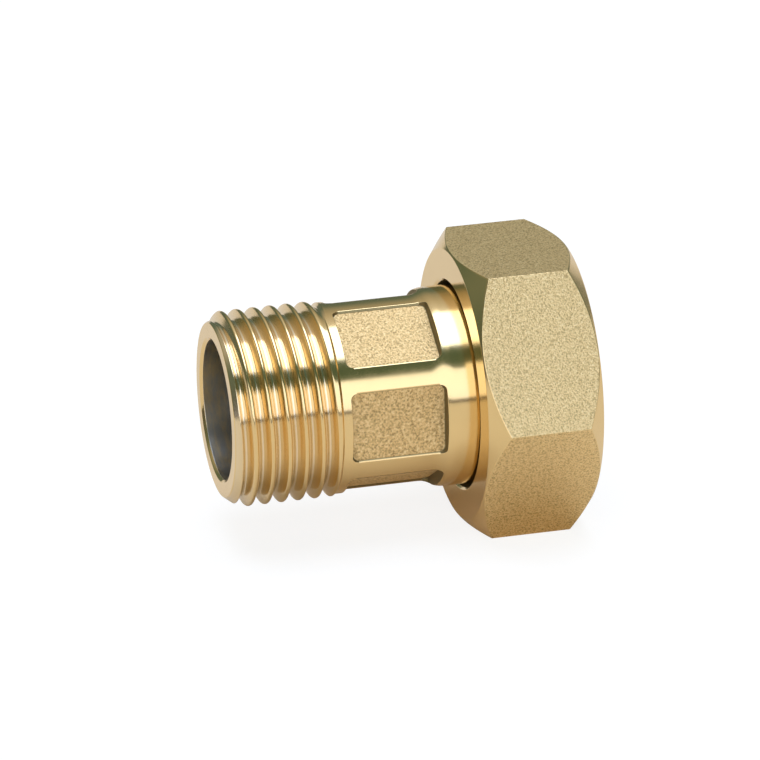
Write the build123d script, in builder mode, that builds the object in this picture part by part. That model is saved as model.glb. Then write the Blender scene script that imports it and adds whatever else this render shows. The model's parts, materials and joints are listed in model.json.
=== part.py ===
from build123d import *
import os
from math import cos, radians, tan

# A swivel-nut pipe union half, DN 15: a tailpiece with a 1/2 inch pipe thread, a loose 3/4 inch
# union nut on it, and the flat washer that the joint is sealed with. Millimetres throughout.
#
# The axis is X, and the origin is on it at the collar's sealing face. The pipe thread points
# to -X and the nut's mouth to +X. +Z is up, and two of the nut's flats are level.

os.makedirs("parts", exist_ok=True)

# ---- driving dimensions --------------------------------------------------------------------

# Both threads are parallel pipe threads of Whitworth form, right-handed, 14 to the inch.
PITCH = 25.4 / 14
HALF_ANGLE = 27.5
GROOVE_FLOOR = PITCH / 6
GROOVE_OVERRUN = 0.15
GROOVE_TURN = 20
LEAST_CUT = 100  # cubic millimetres: each thread's groove takes away more than this

PIPE_MAJOR_R = 20.955 / 2
PIPE_MINOR_R = 18.631 / 2
UNION_MAJOR_R = 26.441 / 2
UNION_MINOR_R = 24.117 / 2

# Tailpiece. Lengths are measured from the end that the pipe thread starts at. The groove ends
# before the barrel starts, because one that runs on into the barrel isn't cut at all.
TAIL_LENGTH = 30.7
WATERWAY_R = 7.5
WATERWAY_BREAK = 0.3
END_FACE_R = 9.31
LEAD_IN_END = 1.45
FIRST_GROOVE = 0.66
GROOVE_TURNS = 6.4
THREAD_END = 11.35
BARREL_START = 11.55
BARREL_R = 10.25
FLARE_START = 21.5
FLARE_BEND_R = 3.0
FLARE_TURN = 22.7
COLLAR_R = 11.9
COLLAR_THICKNESS = 2.2
COLLAR_BREAK = 0.2

# Six sunk spanner flats on the barrel.
FLAT_COUNT = 6
FLAT_ACROSS = 18.5
FLAT_START = 12.55
FLAT_LENGTH = 10.2
FLAT_WIDTH = 7.5
FLAT_CORNER_R = 0.65

# Union nut. The shoulder at its back is what pulls on the collar.
NUT_ACROSS = 29.5
NUT_LENGTH = 12.6
NUT_FACE_R = 14.6
NUT_BACK_BEVEL = 37
NUT_MOUTH_BEVEL = 41
SHOULDER_THICKNESS = 2.5
SHOULDER_HOLE_R = 11.15
HOLE_BREAK = 0.25
RELIEF_R = 13.4
RELIEF_PAST_WASHER = 0.1
MOUTH_CHAMFER = 1.2

# Sealing washer.
WASHER_THICKNESS = 2.0
WASHER_R = 11.9
WASHER_HOLE_R = 8.0
WASHER_BREAK = 0.15

# ---- positions along the axis --------------------------------------------------------------

tail_end_x = -TAIL_LENGTH
collar_back_x = -COLLAR_THICKNESS
nut_back_x = collar_back_x - SHOULDER_THICKNESS
nut_mouth_x = nut_back_x + NUT_LENGTH

AXIAL = Plane.XZ  # its local x is along the axis, and its local y is the radius
CUT_PAST = 1.0  # how far a cutting solid runs past the surface that it cuts


def thread_groove(top_x, length, mouth_r, floor_r):
    """The solid of a right-hand helical groove about X, open at mouth_r, flat at floor_r.

    Carried back to the top of the axis, its first turn would be centred at top_x. It starts
    GROOVE_TURN degrees on from there, clear of the seams of the round faces that it cuts.
    """
    start_x = top_x + PITCH * GROOVE_TURN / 360
    outward = 1 if mouth_r > floor_r else -1
    rise = abs(mouth_r - floor_r) + GROOVE_OVERRUN
    floor_half = GROOVE_FLOOR / 2
    mouth_half = floor_half + rise * tan(radians(HALF_ANGLE))
    with BuildPart() as groove:
        with BuildLine() as path:
            Helix(PITCH, length, floor_r, center=(start_x, 0, 0), direction=(1, 0, 0))
        start = path.line @ 0
        radial = Vector(0, start.Y, start.Z).normalized()
        section = Plane(origin=start, x_dir=(1, 0, 0), z_dir=Vector(1, 0, 0).cross(radial))
        with BuildSketch(section):
            with BuildLine():
                Polyline(
                    (-floor_half, 0),
                    (floor_half, 0),
                    (mouth_half, outward * rise),
                    (-mouth_half, outward * rise),
                    close=True,
                )
            make_face()
        sweep(path=path.line, binormal=Edge.make_line((0, 0, 0), (1, 0, 0)))
    return groove.part.rotate(Axis.X, GROOVE_TURN)


def check_cut(before, after, name):
    """Stop the build if a groove left its piece whole, which the cut can do without an error."""
    if before - after < LEAST_CUT:
        raise ValueError(f"the groove of the {name} was not cut")


# ---- tailpiece -----------------------------------------------------------------------------

pipe_groove = thread_groove(
    top_x=tail_end_x + FIRST_GROOVE - PITCH,
    length=GROOVE_TURNS * PITCH,
    mouth_r=PIPE_MAJOR_R,
    floor_r=PIPE_MINOR_R,
)

with BuildPart() as tailpiece:
    with BuildSketch(AXIAL):
        with BuildLine():
            Polyline(
                (tail_end_x + WATERWAY_BREAK, WATERWAY_R),
                (tail_end_x, WATERWAY_R + WATERWAY_BREAK),
                (tail_end_x, END_FACE_R),
                (tail_end_x + LEAD_IN_END, PIPE_MAJOR_R),
                (tail_end_x + THREAD_END, PIPE_MAJOR_R),
                (tail_end_x + BARREL_START, BARREL_R),
                (tail_end_x + FLARE_START, BARREL_R),
            )
            flare_out = JernArc(
                (tail_end_x + FLARE_START, BARREL_R), (1, 0), FLARE_BEND_R, FLARE_TURN
            )
            flare_in = JernArc(flare_out @ 1, flare_out % 1, FLARE_BEND_R, -FLARE_TURN)
            neck_start = flare_in @ 1
            Polyline(
                neck_start,
                (collar_back_x, neck_start.Y),
                (collar_back_x, COLLAR_R - COLLAR_BREAK),
                (collar_back_x + COLLAR_BREAK, COLLAR_R),
                (-COLLAR_BREAK, COLLAR_R),
                (0, COLLAR_R - COLLAR_BREAK),
                (0, WATERWAY_R),
                (tail_end_x + WATERWAY_BREAK, WATERWAY_R),
            )
        make_face()
    revolve(axis=Axis.X)
    blank_volume = tailpiece.part.volume
    add(pipe_groove, mode=Mode.SUBTRACT)
    check_cut(blank_volume, tailpiece.part.volume, "tailpiece")
    for index in range(FLAT_COUNT):
        outward = Vector(0, -1, 0).rotate(Axis.X, index * 360 / FLAT_COUNT)
        middle_x = tail_end_x + FLAT_START + FLAT_LENGTH / 2
        flat = Plane(
            origin=Vector(middle_x, 0, 0) + outward * (FLAT_ACROSS / 2),
            x_dir=(1, 0, 0),
            z_dir=outward,
        )
        with BuildSketch(flat):
            RectangleRounded(FLAT_LENGTH, FLAT_WIDTH, FLAT_CORNER_R)
        extrude(amount=PIPE_MAJOR_R - FLAT_ACROSS / 2 + CUT_PAST, mode=Mode.SUBTRACT)

tailpiece.part.label = "tailpiece"
export_step(tailpiece.part, "parts/tailpiece.step")

# ---- union nut -----------------------------------------------------------------------------

relief_end_x = WASHER_THICKNESS + RELIEF_PAST_WASHER
corner_r = NUT_ACROSS / 2 / cos(radians(30)) + CUT_PAST
back_bevel = (corner_r - NUT_FACE_R) * tan(radians(NUT_BACK_BEVEL))
mouth_bevel = (corner_r - NUT_FACE_R) * tan(radians(NUT_MOUTH_BEVEL))

union_groove = thread_groove(
    top_x=relief_end_x - CUT_PAST,
    length=nut_mouth_x - relief_end_x + 2 * CUT_PAST,
    mouth_r=UNION_MINOR_R,
    floor_r=UNION_MAJOR_R,
)

with BuildPart() as union_nut:
    with BuildSketch(Plane.YZ.offset(nut_back_x)):
        RegularPolygon(NUT_ACROSS / 2, 6, major_radius=False)
    extrude(amount=NUT_LENGTH)
    with BuildSketch(AXIAL):
        with BuildLine():
            Polyline(
                (nut_back_x, 0),
                (nut_back_x, NUT_FACE_R),
                (nut_back_x + back_bevel, corner_r),
                (nut_mouth_x - mouth_bevel, corner_r),
                (nut_mouth_x, NUT_FACE_R),
                (nut_mouth_x, 0),
                close=True,
            )
        make_face()
    revolve(axis=Axis.X, mode=Mode.INTERSECT)
    with BuildSketch(AXIAL):
        with BuildLine():
            Polyline(
                (nut_back_x - CUT_PAST, 0),
                (nut_back_x - CUT_PAST, SHOULDER_HOLE_R + HOLE_BREAK + CUT_PAST),
                (nut_back_x + HOLE_BREAK, SHOULDER_HOLE_R),
                (collar_back_x, SHOULDER_HOLE_R),
                (collar_back_x, RELIEF_R),
                (relief_end_x, RELIEF_R),
                (relief_end_x, UNION_MINOR_R),
                (nut_mouth_x - MOUTH_CHAMFER, UNION_MINOR_R),
                (nut_mouth_x + CUT_PAST, UNION_MINOR_R + MOUTH_CHAMFER + CUT_PAST),
                (nut_mouth_x + CUT_PAST, 0),
                close=True,
            )
        make_face()
    revolve(axis=Axis.X, mode=Mode.SUBTRACT)
    bored_volume = union_nut.part.volume
    add(union_groove, mode=Mode.SUBTRACT)
    check_cut(bored_volume, union_nut.part.volume, "union nut")

union_nut.part.label = "union_nut"
export_step(union_nut.part, "parts/union_nut.step")

# ---- sealing washer ------------------------------------------------------------------------

with BuildPart() as sealing_washer:
    with BuildSketch(Plane.YZ):
        Circle(WASHER_R)
        Circle(WASHER_HOLE_R, mode=Mode.SUBTRACT)
    extrude(amount=WASHER_THICKNESS)
    chamfer(sealing_washer.edges(), WASHER_BREAK)

sealing_washer.part.label = "sealing_washer"
export_step(sealing_washer.part, "parts/sealing_washer.step")
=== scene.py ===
import json
from math import cos, pi, radians, sin, tan

import bpy
import numpy as np
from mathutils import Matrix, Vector


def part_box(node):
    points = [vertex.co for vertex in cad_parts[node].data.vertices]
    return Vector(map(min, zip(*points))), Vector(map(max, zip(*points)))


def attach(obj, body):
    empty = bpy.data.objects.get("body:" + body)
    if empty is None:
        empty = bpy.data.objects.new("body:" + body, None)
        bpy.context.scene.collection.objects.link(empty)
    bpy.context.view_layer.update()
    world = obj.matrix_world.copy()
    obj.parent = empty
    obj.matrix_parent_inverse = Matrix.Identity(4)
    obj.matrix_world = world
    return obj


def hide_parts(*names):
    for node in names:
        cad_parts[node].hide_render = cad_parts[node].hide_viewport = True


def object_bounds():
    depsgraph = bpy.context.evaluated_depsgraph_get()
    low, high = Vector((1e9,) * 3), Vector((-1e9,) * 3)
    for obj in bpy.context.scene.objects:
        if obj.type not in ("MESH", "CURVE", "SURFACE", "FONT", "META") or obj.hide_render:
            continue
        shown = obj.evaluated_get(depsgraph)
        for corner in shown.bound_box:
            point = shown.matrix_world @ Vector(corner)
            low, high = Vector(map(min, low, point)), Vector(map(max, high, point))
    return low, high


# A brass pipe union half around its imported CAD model. The axis is X: the pipe thread points to
# -X and the nut's mouth to +X. Shapes are worked out in millimetres and made in metres.

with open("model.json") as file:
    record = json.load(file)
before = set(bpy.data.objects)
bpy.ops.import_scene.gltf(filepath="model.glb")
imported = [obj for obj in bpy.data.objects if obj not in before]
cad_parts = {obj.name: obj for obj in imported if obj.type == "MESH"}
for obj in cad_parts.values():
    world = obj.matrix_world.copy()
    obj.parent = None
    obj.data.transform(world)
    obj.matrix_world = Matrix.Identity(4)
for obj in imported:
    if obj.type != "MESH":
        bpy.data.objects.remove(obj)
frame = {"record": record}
cad_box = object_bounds()

MM = 0.001
FULL_TURN = 2 * pi

mounts = {mount["name"]: mount for mount in frame["record"]["mounts"]}
tail_low, tail_high = (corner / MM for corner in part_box("tailpiece"))
nut_low, nut_high = (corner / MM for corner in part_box("union_nut"))
washer_low, washer_high = (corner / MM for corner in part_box("sealing_washer"))

WATERWAY_R = mounts["waterway"]["dims"]["r_mm"]
PIPE_MAJOR_R = mounts["pipe_thread"]["dims"]["r_mm"]
UNION_MINOR_R = mounts["union_thread"]["dims"]["r_mm"]

# The Whitworth form of both threads, 14 to the inch.
PITCH = 25.4 / 14
HALF_ANGLE = radians(27.5)
ROUND_R = 0.137329 * PITCH
ROUND_HALF = ROUND_R * cos(HALF_ANGLE)
THREAD_DEPTH = 0.640327 * PITCH

# Tailpiece, as distances from its threaded end.
TAIL_LENGTH = tail_high.x - tail_low.x
WATERWAY_BREAK = 0.3
LEAD_IN_R = 9.31
LEAD_IN_END = 1.45
FIRST_GROOVE = 0.66
THREAD_END = 11.35
BARREL_START = 11.55
BARREL_R = 10.25
FLARE_START = 21.5
FLARE_BEND_R = 3.0
FLARE_TURN = radians(22.7)
FLARE_END = FLARE_START + 2 * FLARE_BEND_R * sin(FLARE_TURN)
COLLAR_THICKNESS = 2.2
COLLAR_BACK = TAIL_LENGTH - COLLAR_THICKNESS
COLLAR_R = tail_high.z
COLLAR_BREAK = 0.2
NECK_END = COLLAR_BACK - 0.3

# The thread's last groove gets shallower from one of these to the other, as it turns.
GROOVE_FADE_START = 11.25
GROOVE_END = 11.75
GROOVE_LIFT = 0.02  # its first groove is this much shallower where it cuts the end face's edge

# How far apart the rows are along each thread, and on the plain ring behind the pipe thread.
PIPE_THREAD_STEP = 0.062
RING_STEP = 0.075
UNION_THREAD_STEP = 0.09
BEVEL_ROWS = 7  # over the bevel between the pipe thread and the ring

# The six spanner flats sunk in the barrel.
FLAT_COUNT = 6
FLAT_FLOOR = 9.25
FLAT_START = 12.55
FLAT_LENGTH = 10.2
FLAT_HALF_WIDTH = 3.75
FLAT_CORNER_R = 0.65
FLAT_SECTOR = FULL_TURN / FLAT_COUNT

# The wall round a flat: how far in from its outline, and how deep as a share of the whole depth.
FLAT_WALL = (
    (-0.1, 0),
    (-0.055, 0),
    (-0.03, 0.05),
    (-0.012, 0.3),
    (0.012, 0.75),
    (0.035, 0.93),
    (0.07, 0.99),
    (0.14, 1),
)

# Points sunk by a share between these are on a flat's wall, and faces past the other on its floor.
WALL_DEPTHS = (0.04, 0.995)
FLOOR_DEPTH = 0.9

# Union nut.
NUT_SIDES = 6
NUT_SIDE_R = nut_high.z  # from the axis to the middle of a side
NUT_FACE_R = 14.6
BACK_BEVEL = radians(37)
MOUTH_BEVEL = radians(41)
SHOULDER_THICKNESS = 2.5
SHOULDER_HOLE_R = 11.15
HOLE_BREAK = 0.25
RELIEF_R = 13.4
RELIEF_PAST_WASHER = 0.1
MOUTH_CHAMFER = 1.2
NUT_CORNER_R = 0.07

WASHER_HOLE_R = 8.0

# How far edges are rounded.
SHARP_R = 0.08
BROKEN_R = 0.1
LEAD_IN_EDGE_R = 0.14
NECK_FILLET_R = 0.25
RELIEF_EDGE_R = 0.05
RELIEF_FILLET_R = 0.3
WASHER_EDGE_R = 0.3

# How widely the thread's crests blend into the bevel at each end.
BEVEL_SOFTNESS = 0.03
LEAD_IN_SOFTNESS = 0.05

# How near a point is to a face or an edge to count as on it: turned faces, the nut's sides, its hole.
TOUCHING = 0.01
ON_SIDE = 0.001
IN_HOLE = 0.02


# ---- camera --------------------------------------------------------------------------------

CAMERA_PLACE = (-140.96, -519.60, 208.35)
CAMERA_TURN = (68.8522, 1.158, -14.3155)  # degrees: up from straight down, sideways, round +Z
CAMERA_LENS = 254.9
CAMERA_SENSOR = 36


def add_camera():
    """A long lens, in front and to the left of the fitting, looking down on it by 21 degrees."""
    data = bpy.data.cameras.new("camera")
    data.sensor_width = CAMERA_SENSOR
    data.lens = CAMERA_LENS
    data.clip_start = 0.01
    data.clip_end = 50
    camera = bpy.data.objects.new("camera", data)
    camera.location = Vector(CAMERA_PLACE) * MM
    camera.rotation_euler = [radians(degrees) for degrees in CAMERA_TURN]
    bpy.context.collection.objects.link(camera)
    bpy.context.scene.camera = camera


# ---- mesh tools ----------------------------------------------------------------------------

ARC_STEPS = 4
GUARD = 0.12  # how far a run's first and last rows are from its ends
MOST_GUARD = 0.2  # the same as a share of a short run
MOST_REACH = 0.45  # how much of the shorter run beside it a rounded corner may take


def fractions(steps, guard=0.0):
    """Even steps from 0 to 1, with one more close to each end where guard is more than 0."""
    if guard <= 0:
        return np.linspace(0, 1, steps + 1)
    return np.concatenate(([0], np.linspace(guard, 1 - guard, steps + 1), [1]))


def spread(start, end, fraction):
    """Rows of points from start to end, which are (2, columns) arrays."""
    return start[None] + (end - start)[None] * np.asarray(fraction)[:, None, None]


def outline(corners, columns):
    """An open outline with rounded corners, as rows of (x, r) for each column.

    A corner is (x, r, rounding, steps): rounding is its radius, and steps the number of
    stretches on the run that leads to it. x and r are numbers, or arrays over the columns.
    """
    points = np.array([[np.broadcast_to(v, columns) for v in corner[:2]] for corner in corners])
    rows = [points[0][None]]
    last = points[0]
    for index in range(1, len(corners)):
        here = points[index]
        rounding, steps = corners[index][2:]
        if index + 1 < len(corners) and rounding > 0:
            back, ahead = points[index - 1] - here, points[index + 1] - here
            back_length, ahead_length = np.linalg.norm(back, axis=0), np.linalg.norm(ahead, axis=0)
            back, ahead = back / back_length, ahead / ahead_length
            half = np.arccos(np.clip((back * ahead).sum(0), -1, 1)) / 2
            room = MOST_REACH * np.minimum(back_length, ahead_length)
            reach = np.minimum(rounding / np.tan(half), room)
            middle = (back + ahead) / np.linalg.norm(back + ahead, axis=0)
            centre = here + middle * reach / np.cos(half)
            start, end = here + back * reach, here + ahead * reach
            turn = pi - 2 * half
            share = np.linspace(0, 1, ARC_STEPS + 1)[:, None, None]
            arc = centre + (
                np.sin((1 - share) * turn) * (start - centre) + np.sin(share * turn) * (end - centre)
            ) / np.sin(turn)
        else:
            arc = here[None]
        length = np.linalg.norm(arc[0] - last, axis=0).mean()
        guard = min(MOST_GUARD, GUARD / length) if steps > 1 else 0
        rows.append(spread(last, arc[0], fractions(steps, guard))[1:])
        rows.append(arc[1:])
        last = arc[-1]
    return np.concatenate(rows)


def ring_mesh(name, rows, angles, materials):
    """A closed ring: rows of (x, r) profiles, one profile for each angle about the X axis.

    The profile closes on itself, and so does the ring. Angle 0 is +Y, and 90 degrees is +Z.
    """
    row_count, _, column_count = rows.shape
    x, r = rows[:, 0], rows[:, 1]
    points = np.stack((x, r * np.cos(angles), r * np.sin(angles)), axis=-1).reshape(-1, 3) * MM
    row, column = np.meshgrid(np.arange(row_count), np.arange(column_count), indexing="ij")
    next_row, next_column = (row + 1) % row_count, (column + 1) % column_count
    quads = np.stack(
        (
            row * column_count + column,
            row * column_count + next_column,
            next_row * column_count + next_column,
            next_row * column_count + column,
        ),
        axis=-1,
    ).reshape(-1, 4)
    mesh = bpy.data.meshes.new(name)
    mesh.from_pydata(points.tolist(), [], quads.tolist())
    mesh.polygons.foreach_set("use_smooth", np.ones(len(quads), bool))
    for material in materials:
        mesh.materials.append(material)
    piece = bpy.data.objects.new(name, mesh)
    bpy.context.collection.objects.link(piece)
    return piece


def add_attribute(piece, name, values):
    """A number for each vertex, which the piece's material reads by name."""
    attribute = piece.data.attributes.new(name, "FLOAT", "POINT")
    attribute.data.foreach_set("value", np.ascontiguousarray(values, np.float32).ravel())


def whole_faces(chosen):
    """The ring's faces whose four vertices are all chosen, as 0 or 1."""
    along = chosen & np.roll(chosen, -1, 0)
    return (along & np.roll(along, -1, 1)).astype(int)


def between(start, end, steps):
    """The x of steps rows on the way from start to end, without start itself."""
    return start + (end - start) * np.linspace(0, 1, steps + 1)[1:, None]


def smooth_step(value):
    """From 0 to 1 as value does, with a level start and end."""
    value = np.clip(value, 0, 1)
    return value * value * (3 - 2 * value)


def soft_min(a, b, width):
    """The smaller of a and b, blended over about width where they are equal."""
    return (a + b - np.sqrt((a - b) ** 2 + width**2)) / 2


# ---- threads -------------------------------------------------------------------------------


def thread_drop(x, angle, first_groove_x):
    """How far a Whitworth thread lies under its crests at x, and the groove's x there.

    The right-hand groove's middle passes first_groove_x at the top of the axis.
    """
    turns = (x - first_groove_x) / PITCH - (angle - pi / 2) / FULL_TURN
    from_groove = (turns - np.round(turns)) * PITCH
    from_crest = PITCH / 2 - np.abs(from_groove)
    crest = ROUND_R - np.sqrt(np.maximum(ROUND_R**2 - np.minimum(from_crest, ROUND_HALF) ** 2, 0))
    from_root = np.minimum(np.abs(from_groove), ROUND_HALF)
    root = THREAD_DEPTH - ROUND_R + np.sqrt(np.maximum(ROUND_R**2 - from_root**2, 0))
    edge_drop = ROUND_R * (1 - sin(HALF_ANGLE))
    flank = edge_drop + (from_crest - ROUND_HALF) / tan(HALF_ANGLE)
    below_crest = np.where(np.abs(from_groove) <= ROUND_HALF, root, flank)
    drop = np.where(from_crest <= ROUND_HALF, crest, below_crest)
    return drop, x - from_groove


# ---- tailpiece -----------------------------------------------------------------------------


def tail_columns():
    """The angles of the tailpiece's columns, which follow the spanner flats' rounded corners."""
    straight = np.linspace(-1, 1, 21) * (FLAT_HALF_WIDTH - FLAT_CORNER_R)
    corner_turns = np.radians((15, 30, 45, 60, 75, 90))
    corner = FLAT_HALF_WIDTH - FLAT_CORNER_R * (1 - np.sin(corner_turns))
    across = np.concatenate((-corner[::-1], straight, corner))
    on_flat = np.arctan2(across, FLAT_FLOOR)
    first, last = on_flat[-1], FLAT_SECTOR - on_flat[-1]
    ridge = np.linspace(first + radians(1), last - radians(1), 8)
    sector = np.concatenate((on_flat, [first + radians(0.25)], ridge, [last - radians(0.25)]))
    return np.concatenate([sector - pi + index * FLAT_SECTOR for index in range(FLAT_COUNT)])


def across_flat(angles):
    """For each column, how far it is to the side of the middle of the nearest flat."""
    from_middle = (angles + FLAT_SECTOR / 2) % FLAT_SECTOR - FLAT_SECTOR / 2
    return FLAT_FLOOR * np.tan(from_middle)


def barrel_radius(x):
    """The turned radius from the thread's end bevel to the collar, x from the threaded end."""
    bend = FLARE_BEND_R * sin(FLARE_TURN)
    rise = FLARE_BEND_R * (1 - cos(FLARE_TURN))
    first = np.clip(x - FLARE_START, 0, bend)
    second = np.clip(FLARE_START + 2 * bend - x, 0, bend)
    lower = FLARE_BEND_R - np.sqrt(FLARE_BEND_R**2 - first**2)
    upper = rise - (FLARE_BEND_R - np.sqrt(FLARE_BEND_R**2 - second**2))
    return BARREL_R + lower + upper


def end_rows(angles):
    """From half way along the waterway to the end face, and on to the foot of its bevel."""
    rows = outline(
        (
            (TAIL_LENGTH / 2, WATERWAY_R, 0, 0),
            (WATERWAY_BREAK, WATERWAY_R, BROKEN_R, 12),
            (0, WATERWAY_R + WATERWAY_BREAK, BROKEN_R, 1),
            (0, LEAD_IN_R, LEAD_IN_EDGE_R, 6),
            (LEAD_IN_END, PIPE_MAJOR_R, 0, 1),
        ),
        len(angles),
    )[:-1]
    x, radius = rows[:, 0], rows[:, 1]
    drop, _ = thread_drop(x, angles, FIRST_GROOVE)
    on_bevel = (radius > LEAD_IN_R - 2 * LEAD_IN_EDGE_R) & (x > 1e-6)
    threaded = np.minimum(radius, PIPE_MAJOR_R - drop + GROOVE_LIFT)
    rows[:, 1] = np.where(on_bevel, threaded, radius)
    return rows


def thread_rows(angles, first_x):
    """The thread, its end bevel and the plain ring before the flats, as one stepped surface."""
    x = np.concatenate(
        (
            np.arange(first_x + 0.06, THREAD_END - 0.05, PIPE_THREAD_STEP),
            np.linspace(THREAD_END - 0.03, BARREL_START + 0.05, BEVEL_ROWS),
            np.arange(BARREL_START + 0.1, FLAT_START - 0.25, RING_STEP),
        )
    )[:, None] + np.zeros(len(angles))
    lead_in = LEAD_IN_R + (PIPE_MAJOR_R - LEAD_IN_R) * x / LEAD_IN_END
    bevel_slope = (PIPE_MAJOR_R - BARREL_R) / (BARREL_START - THREAD_END)
    bevel = PIPE_MAJOR_R - (x - THREAD_END) * bevel_slope
    turned = soft_min(np.maximum(bevel, BARREL_R), PIPE_MAJOR_R, BEVEL_SOFTNESS)
    drop, groove_x = thread_drop(x, angles, FIRST_GROOVE)
    fade = smooth_step((groove_x - GROOVE_FADE_START) / (GROOVE_END - GROOVE_FADE_START))
    threaded = np.minimum(turned, PIPE_MAJOR_R - drop * (1 - fade))
    return np.stack((x, soft_min(threaded, lead_in, LEAD_IN_SOFTNESS)), axis=1)


def barrel_rows(angles, first_x):
    """The barrel, flare and neck, and how far each point is sunk in a flat, from 0 to 1."""
    side = across_flat(angles)
    past_straight = np.clip(np.abs(side) - (FLAT_HALF_WIDTH - FLAT_CORNER_R), 0, FLAT_CORNER_R)
    inset = FLAT_CORNER_R - np.sqrt(FLAT_CORNER_R**2 - past_straight**2)
    wall_x, wall_depth = np.array(FLAT_WALL).T[:, :, None]
    near_wall = FLAT_START + inset + wall_x
    far_wall = FLAT_START + FLAT_LENGTH - inset - wall_x[::-1]
    stretches = (
        (between(first_x, near_wall[0], 4)[:-1], 0),
        (near_wall, wall_depth),
        (between(near_wall[-1], far_wall[0], 30)[:-1], 1),
        (far_wall, wall_depth[::-1]),
        (between(far_wall[-1], FLARE_END, 14), 0),
        (between(FLARE_END, NECK_END - 0.05, 7) + np.zeros(len(angles)), 0),
    )
    x = np.concatenate([part for part, _ in stretches])
    depth = np.concatenate([np.broadcast_to(sunk, part.shape) for part, sunk in stretches])
    turned = barrel_radius(x)
    floor = FLAT_FLOOR * np.sqrt(1 + (side / FLAT_FLOOR) ** 2)
    sunk = np.where(np.abs(side) < FLAT_HALF_WIDTH + 1e-6, depth, 0)
    radius = turned + (np.minimum(floor, turned) - turned) * sunk
    return np.stack((x, radius), axis=1), sunk


def collar_rows(columns):
    """The collar and its sealing face, and back in to half way along the waterway."""
    neck_r = barrel_radius(np.array(FLARE_END))
    return outline(
        (
            (NECK_END, neck_r, 0, 0),
            (COLLAR_BACK, neck_r, NECK_FILLET_R, 1),
            (COLLAR_BACK, COLLAR_R - COLLAR_BREAK, SHARP_R, 3),
            (COLLAR_BACK + COLLAR_BREAK, COLLAR_R, SHARP_R, 1),
            (TAIL_LENGTH - COLLAR_BREAK, COLLAR_R, SHARP_R, 6),
            (TAIL_LENGTH, COLLAR_R - COLLAR_BREAK, SHARP_R, 1),
            (TAIL_LENGTH, WATERWAY_R, SHARP_R, 10),
            (TAIL_LENGTH / 2 + 0.5, WATERWAY_R, 0, 12),
        ),
        columns,
    )


def make_tailpiece(turned, blasted, bored):
    """The tailpiece. groove is how deep a point is in the thread, and the other attribute marks the
    flats' walls and edges for painted shade.
    """
    angles = tail_columns()
    end = end_rows(angles)
    thread = thread_rows(angles, end[-1, 0, 0])
    barrel, barrel_sunk = barrel_rows(angles, thread[-1, 0])
    rows = np.concatenate((end, thread, barrel, collar_rows(len(angles))))
    x, radius = rows[:, 0], rows[:, 1]
    first_thread, first_barrel = len(end), len(end) + len(thread)
    groove = np.zeros(x.shape)
    groove[first_thread:first_barrel] = (PIPE_MAJOR_R - thread[:, 1]) / THREAD_DEPTH
    groove[(x > BARREL_START) & (radius > BARREL_R - TOUCHING)] = 0
    sunk = np.zeros(x.shape)
    sunk[first_barrel : first_barrel + len(barrel)] = barrel_sunk
    at_side = (np.abs(across_flat(angles)) > FLAT_HALF_WIDTH - TOUCHING) & (sunk > 0.5)
    on_wall = (sunk > WALL_DEPTHS[0]) & (sunk < WALL_DEPTHS[1])
    finish = whole_faces(sunk > FLOOR_DEPTH) + 2 * whole_faces(radius < WATERWAY_R + TOUCHING)
    rows[:, 0] += tail_low.x
    piece = ring_mesh("tailpiece_turned", rows, angles, (turned, blasted, bored))
    add_attribute(piece, "groove", np.clip(groove, 0, 1))
    # Painted shade on the flats' walls and edges.
    add_attribute(piece, "soil", (on_wall | at_side).astype(float))
    piece.data.polygons.foreach_set("material_index", finish.astype(np.int32).ravel())
    return piece


# ---- union nut -----------------------------------------------------------------------------


def nut_columns():
    """The angles of the nut's columns: 9 over each rounded corner, and 29 along each side."""
    half = pi / NUT_SIDES
    edge = NUT_CORNER_R * tan(half) * cos(half) / NUT_SIDE_R
    at_corner = half + np.linspace(-1, 1, 9) * edge * 1.3
    first, last = half, 3 * half
    side = np.linspace(first + 0.03, last - 0.03, 27)
    sector = np.concatenate((at_corner, [first + edge * 2.4], side, [last - edge * 2.4]))
    return np.concatenate([sector - pi + half + index * 2 * half for index in range(NUT_SIDES)])


def hexagon_radius(angles):
    """The distance from the axis to the hexagon, with its corners rounded."""
    half = pi / NUT_SIDES
    from_middle = (angles + pi / 2 + half) % (2 * half) - half
    corner = half - np.abs(from_middle)
    centre_r = (NUT_SIDE_R - NUT_CORNER_R) / cos(half)
    on_side = NUT_SIDE_R / np.cos(from_middle)
    off = centre_r * np.sin(corner)
    on_arc = centre_r * np.cos(corner) + np.sqrt(np.maximum(NUT_CORNER_R**2 - off**2, 0))
    past_side = NUT_SIDE_R * np.tan(np.abs(from_middle)) > centre_r * sin(half)
    return np.where(past_side & (off < NUT_CORNER_R * sin(half) + 1e-9), on_arc, on_side)


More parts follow.
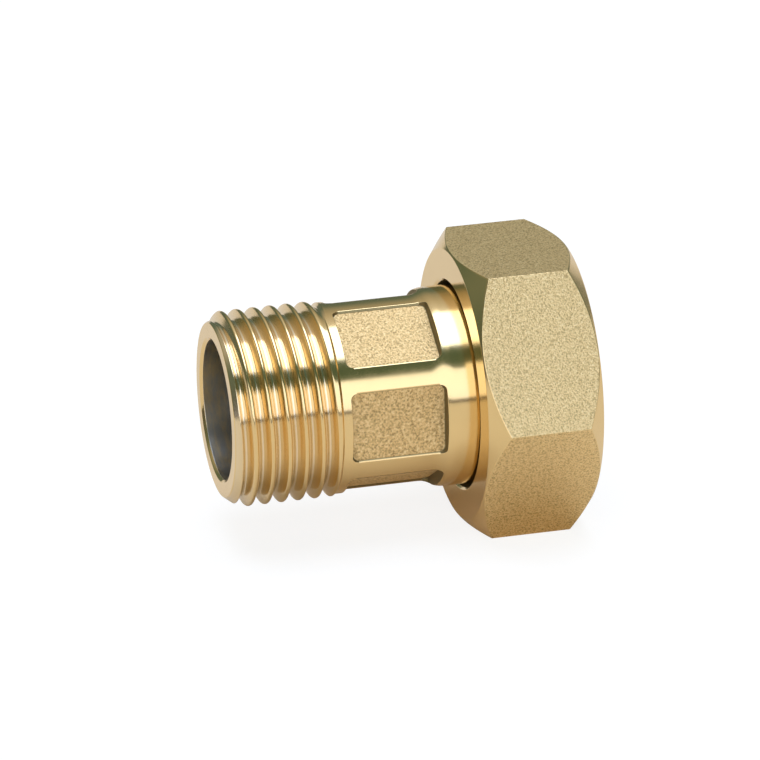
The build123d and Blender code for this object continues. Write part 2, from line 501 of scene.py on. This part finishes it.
def nut_rows(angles):
    """The nut's rows, and how many of them are outside: its hole, faces, sides and mouth."""
    columns = len(angles)
    back, mouth = nut_low.x, nut_high.x
    shoulder = back + SHOULDER_THICKNESS
    relief_end = washer_high.x + RELIEF_PAST_WASHER
    hexagon = hexagon_radius(angles)
    back_edge = back + (hexagon - NUT_FACE_R) * tan(BACK_BEVEL)
    mouth_edge = mouth - (hexagon - NUT_FACE_R) * tan(MOUTH_BEVEL)
    outside = outline(
        (
            (back + 1.6, SHOULDER_HOLE_R, 0, 0),
            (back + HOLE_BREAK, SHOULDER_HOLE_R, BROKEN_R, 3),
            (back, SHOULDER_HOLE_R + HOLE_BREAK, SHARP_R, 1),
            (back, NUT_FACE_R, BROKEN_R, 8),
            (back_edge, hexagon, SHARP_R, 5),
            (mouth_edge, hexagon, SHARP_R, 30),
            (mouth, NUT_FACE_R, BROKEN_R, 5),
            (mouth, UNION_MINOR_R + MOUTH_CHAMFER, SHARP_R, 4),
            (mouth - MOUTH_CHAMFER, UNION_MINOR_R, 0, 6),
        ),
        columns,
    )[:-1]
    thread_x = np.arange(mouth - MOUTH_CHAMFER, relief_end + 0.12, -UNION_THREAD_STEP)
    thread_x = thread_x[:, None] + np.zeros(columns)
    drop, _ = thread_drop(thread_x + PITCH / 2, angles, relief_end - 1.0)
    thread = np.stack((thread_x, UNION_MINOR_R + drop), axis=1)
    inside = outline(
        (
            (relief_end + 0.1, UNION_MINOR_R + 0.4, 0, 0),
            (relief_end, RELIEF_R, RELIEF_EDGE_R, 4),
            (shoulder, RELIEF_R, RELIEF_FILLET_R, 8),
            (shoulder, SHOULDER_HOLE_R, BROKEN_R, 6),
            (back + 1.7, SHOULDER_HOLE_R, 0, 1),
        ),
        columns,
    )
    return np.concatenate((outside, thread, inside)), len(outside)


def make_nut(turned, forged):
    """The nut: its six sides are as forged, and the rest is turned. Its rear hole, round the
    tailpiece, is marked for painted shade.
    """
    angles = nut_columns()
    rows, outside_count = nut_rows(angles)
    piece = ring_mesh("nut_forged", rows, angles, (turned, forged))
    on_side = np.abs(rows[:, 1] - hexagon_radius(angles)) < ON_SIDE
    on_side[outside_count:] = False
    in_hole = rows[:, 1] < SHOULDER_HOLE_R + IN_HOLE
    # Painted shade in the rear hole, between the nut and the tailpiece.
    add_attribute(piece, "soil", in_hole.astype(float))
    piece.data.polygons.foreach_set("material_index", whole_faces(on_side).astype(np.int32).ravel())
    return piece


# ---- washer --------------------------------------------------------------------------------


def make_washer(rubber):
    """The flat washer, all one rubber."""
    angles = np.linspace(-pi, pi, 97)[:-1]
    outer_r = washer_high.z
    thickness = washer_high.x - washer_low.x
    rows = outline(
        (
            (thickness / 2, WASHER_HOLE_R, 0, 0),
            (0, WASHER_HOLE_R, WASHER_EDGE_R, 1),
            (0, outer_r, WASHER_EDGE_R, 6),
            (thickness, outer_r, WASHER_EDGE_R, 3),
            (thickness, WASHER_HOLE_R, WASHER_EDGE_R, 6),
            (thickness / 2 + 0.2, WASHER_HOLE_R, 0, 1),
        ),
        len(angles),
    )
    rows[:, 0] += washer_low.x
    return ring_mesh("washer_moulded", rows, angles, (rubber,))


# ---- materials -----------------------------------------------------------------------------

BRASS = (0.90, 0.67, 0.32)
GROOVE_BRASS = (0.86, 0.72, 0.50)
DULL_BRASS = (0.80, 0.57, 0.26)
# Painted shade for the pits of a grained skin, and painted glints for its peaks.
PAINTED_PIT_SHADE = (0.38, 0.25, 0.10)
PAINTED_PEAK_GLINT = (0.98, 0.80, 0.45)
BORE_BRASS = (0.42, 0.40, 0.34)
BORE_STREAK = (0.80, 0.60, 0.26)
# Painted shade on the flats' walls and in the nut's rear hole: its colour, its strongest share, and
# the roughness there.
PAINTED_SHADE = (0.13, 0.11, 0.05)
PAINTED_SHADE_SHARE = 0.85
PAINTED_SHADE_ROUGHNESS = 0.6
RUBBER = (0.014, 0.014, 0.016)
WORN_RUBBER = (0.03, 0.03, 0.031)
BLACK = (0, 0, 0)
WHITE = (1, 1, 1)

# A Mix node has sockets for each kind of value. These are the numbers of its colour sockets.
MIX_FIRST = 6
MIX_SECOND = 7
MIX_RESULT = 2


def add_node(tree, kind, inputs=(), **settings):
    """A shader node, with each of its inputs set to a value or linked to a socket."""
    made = tree.nodes.new("ShaderNode" + kind)
    for name, value in settings.items():
        setattr(made, name, value)
    for name, value in dict(inputs).items():
        if isinstance(value, bpy.types.NodeSocket):
            tree.links.new(value, made.inputs[name])
        else:
            made.inputs[name].default_value = value
    return made


def ramp(tree, value, stops):
    """A colour that changes with value: each stop is (value, colour)."""
    made = add_node(tree, "ValToRGB", {"Fac": value})
    elements = made.color_ramp.elements
    elements.remove(elements[1])
    elements[0].position = stops[0][0]
    elements[0].color = (*stops[0][1], 1)
    for position, colour in stops[1:]:
        elements.new(position).color = (*colour, 1)
    return made.outputs["Color"]


def mix(tree, share, first, second):
    """The colour or number between first and second, by share."""
    made = add_node(tree, "Mix", {"Factor": share}, data_type="RGBA")
    for socket, value in ((made.inputs[MIX_FIRST], first), (made.inputs[MIX_SECOND], second)):
        if isinstance(value, bpy.types.NodeSocket):
            tree.links.new(value, socket)
        else:
            socket.default_value = (*value, 1)
    return made.outputs[MIX_RESULT]


def span(tree, value, low, high):
    """A number from low to high as value goes from 0 to 1."""
    inputs = {"Value": value, "To Min": low, "To Max": high}
    return add_node(tree, "MapRange", inputs).outputs["Result"]


def noise(tree, place, scale, detail=2.0, roughness=0.5):
    """A number from 0 to 1 that changes from place to place, about scale times in a metre."""
    inputs = {"Vector": place, "Scale": scale, "Detail": detail, "Roughness": roughness}
    return add_node(tree, "TexNoise", inputs).outputs["Fac"]


def bump(tree, height, depth):
    """The surface's normal with height, 0 to 1, raised by depth in metres."""
    inputs = {"Height": height, "Distance": depth, "Strength": 1.0}
    return add_node(tree, "Bump", inputs).outputs["Normal"]


def object_place(tree):
    """Where a point is on its own piece, in metres."""
    return add_node(tree, "TexCoord").outputs["Object"]


def lathe_place(tree, place):
    """A place that is the same all the way round the axis: x, and the distance from the axis."""
    flat = add_node(tree, "VectorMath", {0: place, 1: (0, 1, 1)}, operation="MULTIPLY")
    length = add_node(tree, "VectorMath", {0: flat.outputs["Vector"]}, operation="LENGTH")
    split = add_node(tree, "SeparateXYZ", {0: place})
    made = add_node(tree, "CombineXYZ", {0: split.outputs["X"], 1: length.outputs["Value"]})
    return made.outputs["Vector"]


def attribute(tree, name):
    """A number that the mesh holds for each vertex."""
    return add_node(tree, "Attribute", attribute_name=name).outputs["Fac"]


def with_painted_shade(tree, colour):
    """The colour, darkened by painted shade where the mesh marks it."""
    return mix(tree, span(tree, attribute(tree, "soil"), 0.0, PAINTED_SHADE_SHARE), colour, PAINTED_SHADE)


def new_material(name, metallic):
    """A material, its node tree, and a function that links a socket to its shader's input."""
    material = bpy.data.materials.new(name)
    material.use_nodes = True
    tree = material.node_tree
    shader = tree.nodes["Principled BSDF"]
    shader.inputs["Metallic"].default_value = metallic

    def link(socket, name):
        tree.links.new(socket, shader.inputs[name])

    return material, tree, link


def turned_brass():
    """Bright turned brass: fine lathe lines round the axis, faint tarnish, duller thread grooves, and
    painted shade where the mesh marks it.
    """
    material, tree, link = new_material("turned_brass", metallic=1)
    place = object_place(tree)
    lines = noise(tree, lathe_place(tree, place), scale=9000, detail=3, roughness=0.6)
    tarnish = noise(tree, place, scale=260, detail=3, roughness=0.6)
    clean = mix(tree, span(tree, tarnish, 0.0, 0.5), BRASS, DULL_BRASS)
    worn = mix(tree, span(tree, attribute(tree, "groove"), 0.0, 0.8), clean, GROOVE_BRASS)
    # Painted shade darkens the marked walls and hole.
    link(with_painted_shade(tree, worn), "Base Color")
    polish = span(tree, tarnish, 0.09, 0.2)
    link(mix(tree, attribute(tree, "soil"), polish, (PAINTED_SHADE_ROUGHNESS,) * 3), "Roughness")
    link(bump(tree, lines, depth=0.0000012), "Normal")
    return material


def bored_brass():
    """The waterway: drilled, greyer and duller, with scratches round it."""
    material, tree, link = new_material("bored_brass", metallic=1)
    place = object_place(tree)
    lines = noise(tree, lathe_place(tree, place), scale=4000, detail=3, roughness=0.6)
    stain = noise(tree, place, scale=420, detail=3, roughness=0.6)
    squeezed = add_node(tree, "VectorMath", {0: place, 1: (4, 1, 1)}, operation="MULTIPLY")
    patches = noise(tree, squeezed.outputs["Vector"], scale=300, detail=5, roughness=0.65)
    streaks = ramp(tree, patches, ((0.42, BLACK), (0.66, (0.6, 0.6, 0.6))))
    link(mix(tree, streaks, BORE_BRASS, BORE_STREAK), "Base Color")
    link(span(tree, stain, 0.25, 0.5), "Roughness")
    link(bump(tree, lines, depth=0.000008), "Normal")
    return material


def grained_brass(name, grain_scale, grain_depth, shade, pit_shade, roughness):
    """Brass with the grain of a blasted or forged skin: painted shade in its pits, painted glints on
    its peaks, all the way between.

    shade is how much duller the skin is than clean brass, and the argument after it how dark the
    painted shade in the pits is, 0 to 1.
    """
    material, tree, link = new_material(name, metallic=1)
    place = object_place(tree)
    grain = noise(tree, place, grain_scale, detail=2, roughness=0.6)
    cloud = noise(tree, place, grain_scale * 0.07, detail=2, roughness=0.5)
    skin = mix(tree, span(tree, cloud, shade * 0.6, shade), BRASS, DULL_BRASS)
    # Painted shade where the grain is low and painted glints where it is high, from the grain that
    # also bumps the skin.
    pit_shade_share = ramp(tree, grain, ((0.33, (pit_shade,) * 3), (0.515, BLACK)))
    peak_glint_share = ramp(tree, grain, ((0.52, BLACK), (0.72, WHITE)))
    grained = mix(tree, peak_glint_share, mix(tree, pit_shade_share, skin, PAINTED_PIT_SHADE), PAINTED_PEAK_GLINT)
    link(with_painted_shade(tree, grained), "Base Color")
    link(span(tree, grain, roughness - 0.08, roughness + 0.08), "Roughness")
    link(bump(tree, grain, grain_depth), "Normal")
    return material


def washer_rubber():
    """Matt black rubber with a fine moulded texture."""
    material, tree, link = new_material("washer_rubber", metallic=0)
    place = object_place(tree)
    grain = noise(tree, place, scale=2600, detail=3, roughness=0.6)
    link(mix(tree, noise(tree, place, scale=500), RUBBER, WORN_RUBBER), "Base Color")
    link(span(tree, grain, 0.55, 0.75), "Roughness")
    link(bump(tree, grain, depth=0.00003), "Normal")
    return material


# ---- studio --------------------------------------------------------------------------------

FLOOR_SIZE = 16.0
STUDIO_R = 3.0
FRONT_AZIMUTH = radians(-14)

# What the camera sees of the floor and the background, and the table that the brass reflects.
SWEEP_COLOUR = (0.22, 0.215, 0.2)
SWEEP_GLOW = (0.84, 0.84, 0.84)
BACKGROUND = (0.95, 0.95, 0.95)
TABLE_COLOUR = (0.85, 0.74, 0.59)

# Each light's reach is given by the angles that it takes up as seen from the origin.
OVERHEAD_HALF_ANGLE = radians(24)
OVERHEAD_RADIANCE = 1.65
OVERHEAD_TINT = (0.76, 0.95, 1.5)
FRONT_BOTTOM_ANGLE = radians(4.5)
FRONT_TOP_ANGLE = radians(42)
FRONT_HALF_ANGLE = radians(50)
FRONT_RADIANCE = 1.8
FRONT_TINT = (0.73, 0.77, 0.94)

# The walls that the brass reflects, as (degrees above level, colour).
FRONT_WALL = (
    (0, (0.06, 0.06, 0.06)),
    (4, (0.1, 0.1, 0.1)),
    (38, (0.14, 0.19, 0.14)),
    (43, (0.08, 0.13, 0.09)),
    (62, (0.08, 0.13, 0.09)),
    (68, (1.5, 1.55, 1.6)),
)
BACK_WALL = (
    (0, (0.12, 0.15, 0.13)),
    (17, (0.12, 0.17, 0.14)),
    (32, (0.38, 0.37, 0.31)),
    (42, (0.5, 0.48, 0.42)),
    (60, (0.7, 0.7, 0.72)),
    (68, (1.5, 1.55, 1.6)),
)


def seen_or_reflected(tree, seen, reflected):
    """The shader seen where the camera looks straight at it, and reflected everywhere else."""
    by_camera = add_node(tree, "LightPath").outputs["Is Camera Ray"]
    inputs = {0: by_camera, 1: reflected.outputs[0], 2: seen.outputs[0]}
    return add_node(tree, "MixShader", inputs).outputs[0]


def add_floor():
    """A pale sweep that glows. What the brass reflects in its place is a warmer, plain table."""
    material = bpy.data.materials.new("floor_pale")
    material.use_nodes = True
    tree = material.node_tree
    tree.nodes.clear()
    pale = add_node(tree, "BsdfDiffuse", {"Color": (*SWEEP_COLOUR, 1)})
    glow = add_node(tree, "Emission", {"Color": (*SWEEP_GLOW, 1)})
    sweep = add_node(tree, "AddShader", {0: pale.outputs[0], 1: glow.outputs[0]})
    table = add_node(tree, "BsdfDiffuse", {"Color": (*TABLE_COLOUR, 1)})
    add_node(tree, "OutputMaterial", {"Surface": seen_or_reflected(tree, sweep, table)})
    mesh = bpy.data.meshes.new("floor")
    half = FLOOR_SIZE / 2
    corners = [(x * half, y * half, cad_box[0].z) for x, y in ((-1, -1), (1, -1), (1, 1), (-1, 1))]
    mesh.from_pydata(corners, [], [(0, 1, 2, 3)])
    mesh.materials.append(material)
    floor = bpy.data.objects.new("floor", mesh)
    bpy.context.collection.objects.link(floor)


def add_softbox(name, width, height, location, radiance, tint):
    """A rectangular light that faces the origin, as bright as radiance says from any distance."""
    data = bpy.data.lights.new(name, "AREA")
    data.shape = "RECTANGLE"
    data.size = width
    data.size_y = height
    data.color = tint
    data.energy = radiance * pi * width * height
    light = bpy.data.objects.new(name, data)
    light.location = location
    light.rotation_euler = Vector(location).to_track_quat("Z", "Y").to_euler()
    light.visible_camera = False
    bpy.context.collection.objects.link(light)
    return light


def add_lights():
    """A square softbox overhead, and a wide panel that stands in front."""
    across = 2 * STUDIO_R * tan(OVERHEAD_HALF_ANGLE)
    above = (0, 0, STUDIO_R)
    add_softbox("overhead", across, across, above, OVERHEAD_RADIANCE, OVERHEAD_TINT)
    low, high = STUDIO_R * tan(FRONT_BOTTOM_ANGLE), STUDIO_R * tan(FRONT_TOP_ANGLE)
    width = 2 * STUDIO_R * tan(FRONT_HALF_ANGLE)
    ahead = Vector((sin(FRONT_AZIMUTH), -cos(FRONT_AZIMUTH), 0)) * STUDIO_R
    panel = add_softbox("front", width, high - low, ahead, FRONT_RADIANCE, FRONT_TINT)
    panel.location.z = (low + high) / 2


def wall_colour(tree, height, wall):
    """The wall's colour at height, which is the sine of the angle above level."""
    return ramp(tree, height, [(sin(radians(degrees)), colour) for degrees, colour in wall])


def add_world():
    """Dim studio walls round the brass. The camera sees a plain, pale background instead."""
    world = bpy.data.worlds.new("studio")
    world.use_nodes = True
    tree = world.node_tree
    tree.nodes.clear()
    direction = add_node(tree, "TexCoord").outputs["Generated"]
    height = add_node(tree, "SeparateXYZ", {0: direction}).outputs["Z"]
    ahead = (sin(FRONT_AZIMUTH), -cos(FRONT_AZIMUTH), 0)
    facing = add_node(tree, "VectorMath", {0: direction, 1: ahead}, operation="DOT_PRODUCT")
    front = wall_colour(tree, height, FRONT_WALL)
    back = wall_colour(tree, height, BACK_WALL)
    turn = {"Value": facing.outputs["Value"], "From Min": -0.25, "From Max": 0.25}
    in_front = add_node(tree, "MapRange", turn, interpolation_type="SMOOTHSTEP").outputs["Result"]
    walls = add_node(tree, "Background", {"Color": mix(tree, in_front, back, front)})
    pale = add_node(tree, "Background", {"Color": (*BACKGROUND, 1)})
    add_node(tree, "OutputWorld", {"Surface": seen_or_reflected(tree, pale, walls)})
    bpy.context.scene.world = world


# ---- the scene -----------------------------------------------------------------------------

add_camera()
add_floor()
add_lights()
add_world()
bpy.context.scene.view_settings.view_transform = "Standard"

turned = turned_brass()
bored = bored_brass()
blasted = grained_brass(
    "blasted_brass", grain_scale=4600, grain_depth=0.00011, shade=0.9, pit_shade=0.8, roughness=0.58
)
forged = grained_brass(
    "forged_brass", grain_scale=5400, grain_depth=0.00007, shade=0.15, pit_shade=0.7, roughness=0.42
)
rubber = washer_rubber()

tail = make_tailpiece(turned, blasted, bored)
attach(tail, "tailpiece")
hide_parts("tailpiece")

nut = make_nut(turned, forged)
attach(nut, "nut")
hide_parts("union_nut")

washer = make_washer(rubber)
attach(washer, "washer")
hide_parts("sealing_washer")
